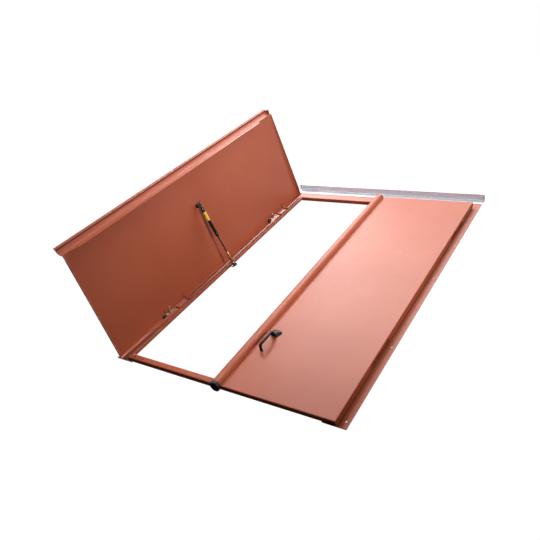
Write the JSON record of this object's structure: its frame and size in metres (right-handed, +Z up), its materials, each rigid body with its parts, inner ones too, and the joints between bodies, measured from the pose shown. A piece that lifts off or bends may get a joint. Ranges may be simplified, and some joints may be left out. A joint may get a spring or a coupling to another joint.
{
  "type": "bulkhead cellar door",
  "caption": "Sheet steel bulkhead cellar door: flanged frame with wall flashing and hinged leaves on gas struts, one leaf open and one shut.",
  "frame": {"origin": "middle of the outer rectangle of flange screws, on the underside of the frame's flanges", "axes": "+Z up from the flanges, +Y from the foot of the door to the house wall, +X to the shut leaf"},
  "size_m": [1.3981, 1.949, 0.6382],
  "materials": {
    "primer_paint": "satin red oxide primer on sheet steel",
    "galvanized_steel": "spangled galvanized sheet",
    "zinc_plated_steel": "zinc plate",
    "brass_sleeve": "satin brass",
    "strut_rod_steel": "dark nitrided steel",
    "black_metal": "semi-gloss black",
    "black_rubber": "matt",
    "handle_black": "gloss black"
  },
  "bodies": {
    "frame": {"foot_rail": "primer_paint", "head_rail": "primer_paint", "left_hinge_knuckle_lower": "primer_paint", "left_hinge_knuckle_upper": "primer_paint", "left_side_rail": "primer_paint", "left_strut_foot": "black_metal", "right_hinge_knuckle_lower": "primer_paint", "right_hinge_knuckle_upper": "primer_paint", "right_side_rail": "primer_paint", "right_strut_foot": "black_metal", "wall_flashing": "galvanized_steel"},
    "left_leaf": {"left_hinge_cap_lower": "black_rubber", "left_hinge_cap_upper": "black_rubber", "left_hinge_ears_lower": "primer_paint", "left_hinge_ears_upper": "primer_paint", "left_hinge_pin_lower": "zinc_plated_steel", "left_hinge_pin_upper": "zinc_plated_steel", "left_lap_strip": "primer_paint", "left_leaf_panel": "primer_paint", "left_meeting_lip": "primer_paint", "left_strut_head": "black_metal"},
    "right_leaf": {"lift_handle": "handle_black", "meeting_ridge": "primer_paint", "ridge_foot_cap": "black_rubber", "ridge_head_cap": "black_rubber", "right_hinge_cap_lower": "black_rubber", "right_hinge_cap_upper": "black_rubber", "right_hinge_ears_lower": "primer_paint", "right_hinge_ears_upper": "primer_paint", "right_hinge_pin_lower": "zinc_plated_steel", "right_hinge_pin_upper": "zinc_plated_steel", "right_leaf_panel": "primer_paint", "right_meeting_lip": "primer_paint", "right_strut_head": "black_metal"},
    "left_strut_rod": {"left_strut_rod": "strut_rod_steel", "left_strut_rod_eye": "black_metal", "left_strut_sleeve": "brass_sleeve"},
    "left_strut_cylinder": {"left_strut_cylinder": "black_metal", "left_strut_cylinder_eye": "black_metal"},
    "right_strut_rod": {"right_strut_rod": "strut_rod_steel", "right_strut_rod_eye": "black_metal", "right_strut_sleeve": "brass_sleeve"},
    "right_strut_cylinder": {"right_strut_cylinder": "black_metal", "right_strut_cylinder_eye": "black_metal"}
  },
  "joints": [
    {"name": "left_leaf_hinge", "type": "hinge", "parent": "frame", "child": "left_leaf", "pos_m": [-0.604, 0, 0.026], "axis": [0, -1, 0], "range_deg": [-98.6, 0]},
    {"name": "left_strut_swing", "type": "hinge", "parent": "frame", "child": "left_strut_rod", "pos_m": [-0.522, 0.05, 0.022], "axis": [0, -1, 0], "range_deg": [-109.68, 0]},
    {"name": "left_strut_slide", "type": "slide", "parent": "left_strut_rod", "child": "left_strut_cylinder", "axis": [-0.3114, 0, 0.9503], "range_m": [-0.10393, 0]},
    {"name": "right_leaf_hinge", "type": "hinge", "parent": "frame", "child": "right_leaf", "pos_m": [0.604, 0, 0.026], "axis": [0, 1, 0], "range_deg": [0, 98.6]},
    {"name": "right_strut_swing", "type": "hinge", "parent": "frame", "child": "right_strut_rod", "pos_m": [0.522, 0.05, 0.022], "axis": [0, 1, 0], "range_deg": [0, 109.68]},
    {"name": "right_strut_slide", "type": "slide", "parent": "right_strut_rod", "child": "right_strut_cylinder", "axis": [-0.9997, 0, -0.0259], "range_m": [0, 0.10393]}
  ],
  "couplings": [
    {"joint": "left_strut_swing", "follows": "left_leaf_hinge", "ratio": 1.1119},
    {"joint": "left_strut_slide", "follows": "left_leaf_hinge", "m_per_rad": 0.060336},
    {"joint": "right_strut_swing", "follows": "right_leaf_hinge", "ratio": 1.1119},
    {"joint": "right_strut_slide", "follows": "right_leaf_hinge", "m_per_rad": 0.060336}
  ]
}
